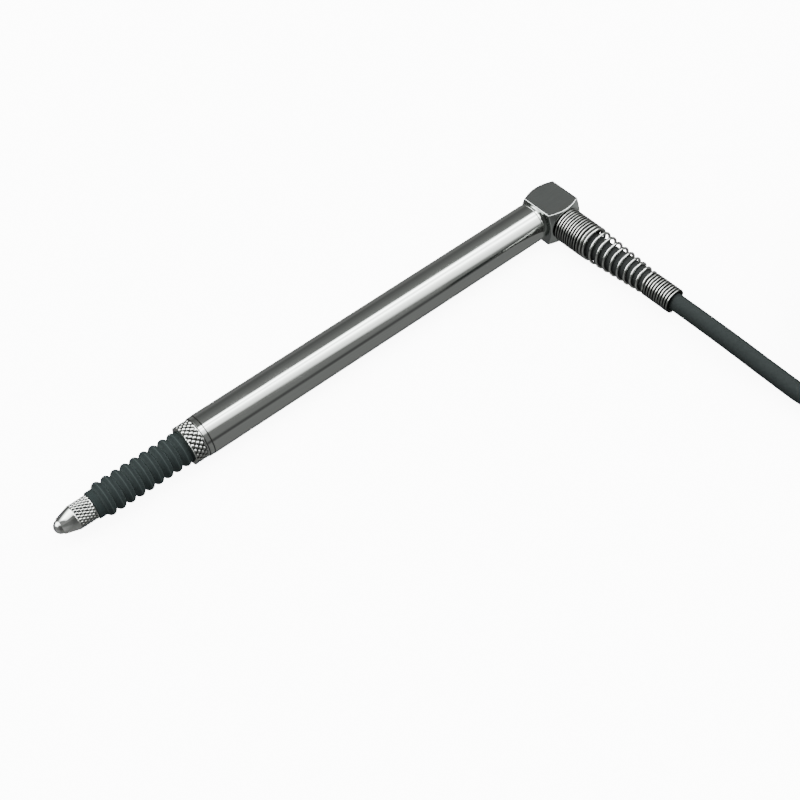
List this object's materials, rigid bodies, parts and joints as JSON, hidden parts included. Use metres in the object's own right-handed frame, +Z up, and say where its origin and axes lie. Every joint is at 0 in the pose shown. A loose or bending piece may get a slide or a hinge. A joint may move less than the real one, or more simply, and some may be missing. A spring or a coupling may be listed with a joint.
{
  "type": "grating displacement sensor",
  "caption": "Pencil-shaped grating displacement sensor: sprung plunger with ball tip and rubber gaiter, round clamping shank, right-angle cable exit with a spring strain relief.",
  "frame": {"origin": "on the probe's axis, half way along the clamping shank", "axes": "+X along the probe from the contact ball to the elbow, the cable leaves towards -Y, +Z up from the surface the sensor lies on"},
  "size_m": [0.1695, 0.1005, 0.025],
  "materials": {
    "ground_steel": "centreless ground stainless steel, satin",
    "knurled_steel": "diamond knurled stainless steel, bright peaks",
    "hard_steel": "hardened and polished steel",
    "elbow_steel": "dark satin machined metal",
    "spring_steel": "bright drawn spring wire",
    "gaiter_rubber": "matte moulded rubber",
    "seal_rubber": "matte rubber",
    "turned_brass": "turned brass",
    "optical_glass": "clear ground glass",
    "black_aluminium": "black anodised",
    "chip_plastic": "moulded chip case",
    "lamp_plastic": "clear moulded lamp",
    "board_laminate": "green glass laminate",
    "wire_plastic": "wire insulation",
    "cable_jacket": "matte dark grey cable jacket",
    "strap_fabric": "woven hook and loop strap",
    "nickel_brass": "satin nickel plate",
    "insert_plastic": "moulded insert",
    "gold_contact": "gold plate"
  },
  "bodies": {
    "housing": {"body_tube": "ground_steel", "nose_bush": "ground_steel", "knurled_collar": "knurled_steel", "gaiter": "gaiter_rubber", "stop_bumper": "seal_rubber", "guide_sleeve": "turned_brass", "return_spring": "spring_steel", "reading_head": "black_aluminium", "index_grating": "optical_glass", "detector_chip": "chip_plastic", "lamp": "lamp_plastic", "signal_board": "board_laminate", "board_chips": "chip_plastic", "core_wires": "wire_plastic", "tube_seal": "seal_rubber", "elbow_block": "elbow_steel", "cable_gland": "turned_brass", "strain_spring": "spring_steel", "cable": "cable_jacket", "cable_coil": "cable_jacket", "cable_tail": "cable_jacket", "coil_tie": "strap_fabric", "plug_shell": "nickel_brass", "plug_insert": "insert_plastic", "plug_pins": "gold_contact"},
    "plunger": {"contact_ball": "hard_steel", "contact_tip": "knurled_steel", "plunger": "hard_steel", "stop_ring": "turned_brass", "guide_pin": "hard_steel", "scale_carrier": "turned_brass", "glass_scale": "optical_glass"},
    "ball_cage": {"ball_cage": "turned_brass", "guide_balls": "hard_steel"},
    "plug_nut": {"plug_nut": "nickel_brass"}
  },
  "joints": [
    {"name": "plunger_slide", "type": "slide", "parent": "housing", "child": "plunger", "axis": [1, 0, 0], "range_m": [0, 0.01], "stiffness_N_per_m": 60, "springref_m": -0.01, "deforming": ["gaiter", "return_spring"]},
    {"name": "cage_slide", "type": "slide", "parent": "housing", "child": "ball_cage", "axis": [1, 0, 0], "range_m": [0, 0.005]},
    {"name": "plug_nut_spin", "type": "hinge", "parent": "housing", "child": "plug_nut", "pos_m": [0.08952, -0.0425, 0.01572], "axis": [0, 1, 0], "continuous": true}
  ],
  "couplings": [
    {"joint": "cage_slide", "follows": "plunger_slide", "ratio": 0.5}
  ]
}
